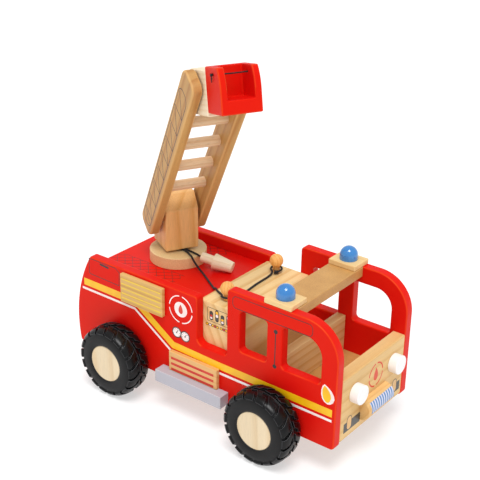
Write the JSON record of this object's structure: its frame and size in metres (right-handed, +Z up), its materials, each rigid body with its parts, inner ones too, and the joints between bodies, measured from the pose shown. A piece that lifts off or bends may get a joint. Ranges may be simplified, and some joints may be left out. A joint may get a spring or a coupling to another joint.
{
  "type": "wooden toy fire engine",
  "caption": "Flat-sided wooden toy fire engine that rolls on chunky tyres, with a swivelling turret, a raising ladder and a tilting basket.",
  "frame": {"origin": "on the ground, midway across the toy and within 2 mm of the middle of its length", "axes": "+X towards the nose, +Y to the toy's own left, +Z up"},
  "size_m": [0.3863, 0.2194, 0.4225],
  "materials": {
    "red_board": "red enamel on MDF",
    "pine": "clear lacquered pine",
    "mdf": "clear lacquered MDF",
    "beech": "clear lacquered beech",
    "pale_wood": "clear lacquered pine",
    "grey_step": "grey enamel on pine",
    "white_lamp": "white enamel on beech",
    "blue_lamp": "gloss",
    "cord": "braided cord",
    "elastic": "braided elastic",
    "steel": "bright drawn",
    "tyre": "moulded, matt"
  },
  "bodies": {
    "body": {"side_plate_right": "red_board", "side_plate_left": "red_board", "floor_board": "red_board", "rear_panel": "red_board", "deck_board": "red_board", "engine_block": "pine", "front_panel": "pine", "grille_bar": "pine", "headlights": "white_lamp", "roof_beam": "mdf", "roof_pads": "pine", "beacons": "blue_lamp", "seat_back": "mdf", "step_right": "grey_step", "step_left": "grey_step", "vent_plate_right": "pine", "vent_plate_left": "pine", "locker_front_right": "pine", "locker_front_left": "pine", "peg_right": "beech", "peg_left": "beech", "hose": "cord", "hose_knot": "cord", "nozzle": "pale_wood", "turret_disc": "pine"},
    "turret": {"turret_block": "pine", "turret_pin": "beech"},
    "ladder": {"ladder_rail_right": "pine", "ladder_rail_left": "pine", "rungs": "beech", "ladder_pin": "beech", "basket_pin": "beech"},
    "basket": {"basket_carrier": "pale_wood", "basket": "red_board", "basket_elastic": "elastic"},
    "front_wheels": {"front_axle": "steel", "front_tyres": "tyre", "front_hubs": "beech"},
    "rear_wheels": {"rear_axle": "steel", "rear_tyres": "tyre", "rear_hubs": "beech"}
  },
  "joints": [
    {"name": "turret_swivel", "type": "hinge", "parent": "body", "child": "turret", "pos_m": [-0.10605, 0.01, 0.1556], "axis": [0, 0, 1], "continuous": true},
    {"name": "ladder_raise", "type": "hinge", "parent": "turret", "child": "ladder", "pos_m": [-0.10887, 0.01152, 0.2038], "axis": [-0.4741, -0.8805, 0], "range_deg": [-42, 18]},
    {"name": "basket_tilt", "type": "hinge", "parent": "ladder", "child": "basket", "pos_m": [-0.01152, -0.0409, 0.37405], "axis": [0.4741, 0.8805, 0], "range_deg": [-30, 30]},
    {"name": "front_axle_roll", "type": "hinge", "parent": "body", "child": "front_wheels", "pos_m": [0.09955, 0, 0.0436], "axis": [0, 1, 0], "continuous": true},
    {"name": "rear_axle_roll", "type": "hinge", "parent": "body", "child": "rear_wheels", "pos_m": [-0.11775, 0, 0.0436], "axis": [0, 1, 0], "continuous": true}
  ]
}
